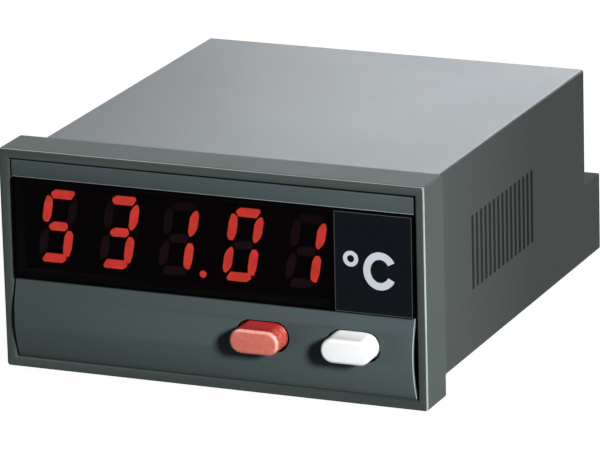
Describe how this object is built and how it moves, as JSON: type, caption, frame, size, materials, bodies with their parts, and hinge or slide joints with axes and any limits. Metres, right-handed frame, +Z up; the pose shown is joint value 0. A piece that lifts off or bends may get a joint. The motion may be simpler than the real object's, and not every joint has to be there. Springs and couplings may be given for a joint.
{
  "type": "digital panel meter",
  "caption": "Panel-mounted digital meter: wide front with LED digits, unit label and push-buttons on a slotted case with a rear terminal ledge.",
  "frame": {"origin": "middle of the panel cut-out, in the plane of the panel's front face, which the bezel's rear rim rests on", "axes": "+X to the right seen from the front, +Y into the panel, +Z up"},
  "size_m": [0.096, 0.1194, 0.048],
  "materials": {
    "bezel_plastic": "fine matt texture",
    "case_plastic": "smooth satin",
    "insert_plastic": "satin",
    "window_filter": "dark tinted filter",
    "label_foil": "satin foil",
    "red_plastic": "satin",
    "white_plastic": "satin",
    "black_plastic": "satin",
    "circuit_board": "solder mask over glass-epoxy",
    "plated_steel": "zinc plated",
    "digit_body": "matt",
    "lit_red": "lit diffuser",
    "unlit_red": "unlit diffuser",
    "core_steel": "varnished laminations",
    "coil_tape": "yellow tape over the winding",
    "capacitor_sleeve": "shrink sleeve",
    "heat_sink": "satin",
    "terminal_plastic": "satin",
    "plated_brass": "tin plated"
  },
  "bodies": {
    "meter": {"front_bezel": "bezel_plastic", "case": "case_plastic", "front_insert": "insert_plastic", "display_window": "window_filter", "unit_label": "label_foil", "red_switch": "black_plastic", "white_switch": "black_plastic", "display_board": "circuit_board", "board_screws": "plated_steel", "digit_1": "digit_body", "digit_2": "digit_body", "digit_3": "digit_body", "digit_4": "digit_body", "digit_5": "digit_body", "lit_strokes": "lit_red", "unlit_strokes": "unlit_red", "main_board": "circuit_board", "board_connector": "black_plastic", "microcontroller": "black_plastic", "converter_chip": "black_plastic", "crystal": "plated_steel", "transformer_core": "core_steel", "transformer_coil": "coil_tape", "capacitors": "capacitor_sleeve", "regulator": "heat_sink", "terminal_header_left": "terminal_plastic", "terminal_header_right": "terminal_plastic", "terminal_pins": "plated_brass", "terminal_plug_left": "terminal_plastic", "terminal_plug_right": "terminal_plastic", "terminal_screws": "plated_steel"},
    "red_key": {"red_button": "red_plastic", "red_plunger": "black_plastic"},
    "white_key": {"white_button": "white_plastic", "white_plunger": "black_plastic"}
  },
  "joints": [
    {"name": "red_button_press", "type": "slide", "parent": "meter", "child": "red_key", "axis": [0, 1, 0], "range_m": [0, 0.0008], "stiffness_N_per_m": 1500, "springref_m": -0.0005},
    {"name": "white_button_press", "type": "slide", "parent": "meter", "child": "white_key", "axis": [0, 1, 0], "range_m": [0, 0.0008], "stiffness_N_per_m": 1500, "springref_m": -0.0005}
  ]
}
